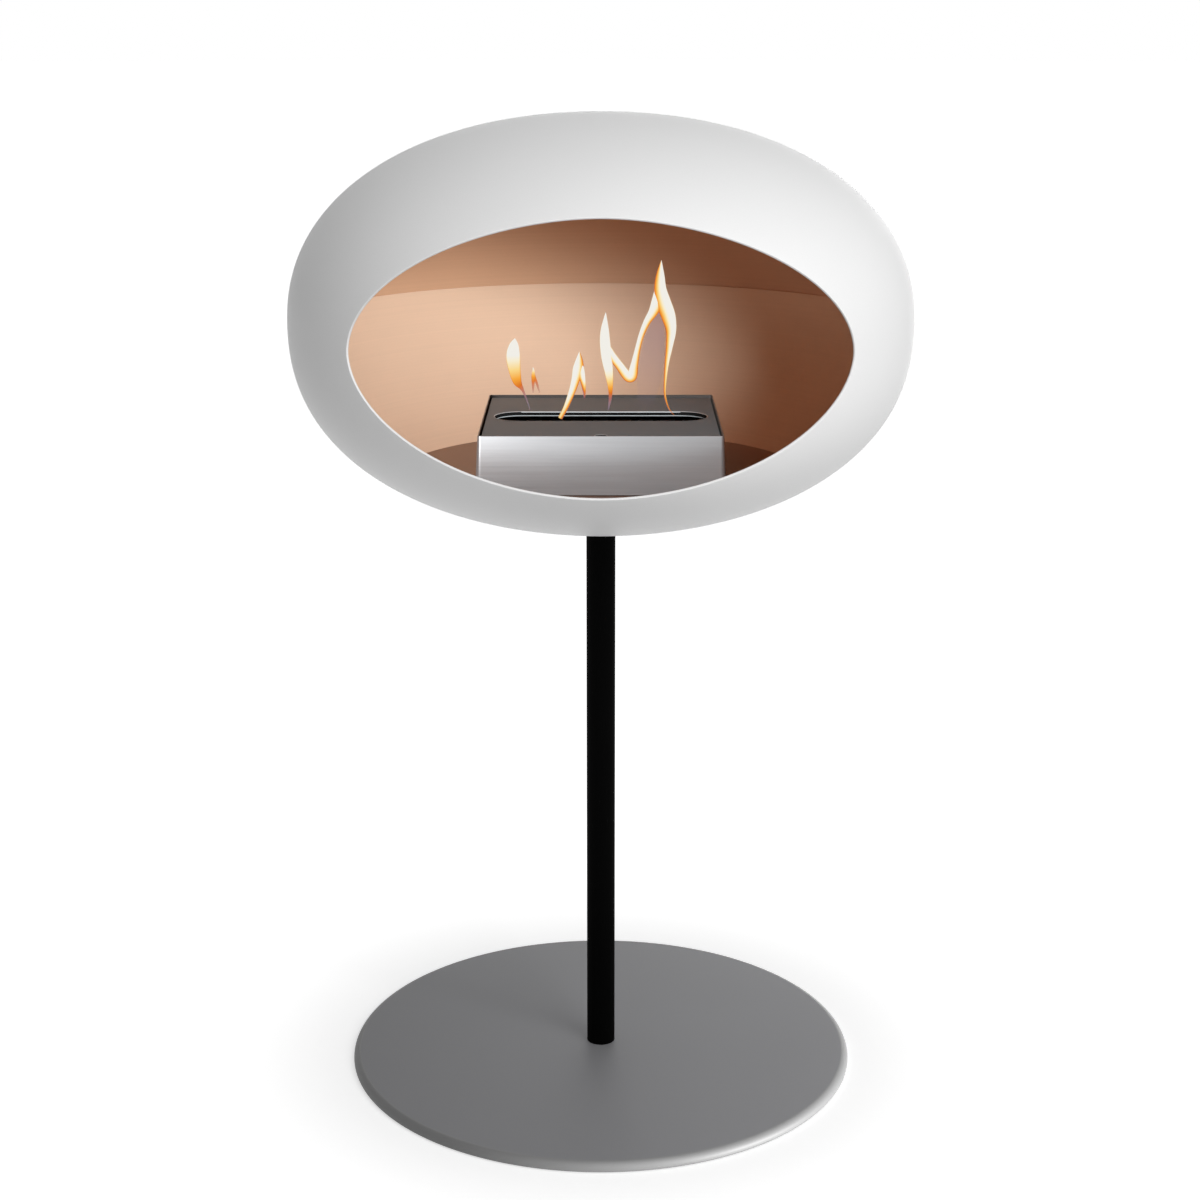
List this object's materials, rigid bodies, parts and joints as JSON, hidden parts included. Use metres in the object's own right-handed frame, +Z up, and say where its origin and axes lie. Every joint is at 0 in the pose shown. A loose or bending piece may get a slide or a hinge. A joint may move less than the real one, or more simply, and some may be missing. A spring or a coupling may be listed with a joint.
{
  "type": "bioethanol fireplace",
  "caption": "Free-standing bioethanol fireplace: flattened round dome with a wide mouth, copper-coloured liner and lift-out burner box, on a slim pole and round base plate.",
  "frame": {"origin": "on the floor at the centre of the base plate, which is the pole's axis", "axes": "+Z up along the pole, mouth of the dome towards -Y, +X to the right of someone who faces the mouth"},
  "size_m": [0.5, 0.466, 0.806],
  "materials": {
    "shell_paint": "fine-textured satin white powder coat",
    "copper_liner": "satin metallic copper lacquer",
    "base_paint": "satin grey metallic, polished rounded edge",
    "pole_black": "satin black powder coat",
    "stainless_steel": "softly brushed stainless steel",
    "dark_steel": "dark satin steel",
    "zinc_steel": "zinc-plated steel",
    "black_rubber": "matt black rubber",
    "felt": "dark felt",
    "ceramic_fibre": "off-white ceramic fibre"
  },
  "bodies": {
    "stand": {"base_felt": "felt", "base_plate": "base_paint", "foot_bolt": "zinc_steel", "pole_tube": "pole_black", "pole_foot_insert": "zinc_steel", "pole_head_insert": "zinc_steel", "pole_gasket": "black_rubber", "pole_stud": "zinc_steel", "dome_shell": "shell_paint", "saddle_plate": "zinc_steel", "clamp_washer": "zinc_steel", "clamp_nut": "zinc_steel", "liner_upper": "copper_liner", "liner_lower": "copper_liner", "floor_plate": "copper_liner", "floor_screw": "zinc_steel"},
    "burner": {"burner_casing": "stainless_steel", "burner_tank": "stainless_steel", "absorbent_pad": "ceramic_fibre", "absorbent_grid": "stainless_steel", "burner_foot_front_left": "black_rubber", "burner_foot_back_left": "black_rubber", "burner_foot_front_right": "black_rubber", "burner_foot_back_right": "black_rubber"},
    "top_plate": {"top_plate": "dark_steel"}
  },
  "joints": [
    {"name": "burner_lift_out", "type": "slide", "parent": "stand", "child": "burner", "axis": [0, -0.9026, 0.4305], "range_m": [0, 0.4]},
    {"name": "top_plate_lift_off", "type": "slide", "parent": "burner", "child": "top_plate", "axis": [0, 0, 1], "range_m": [0, 0.1]}
  ]
}
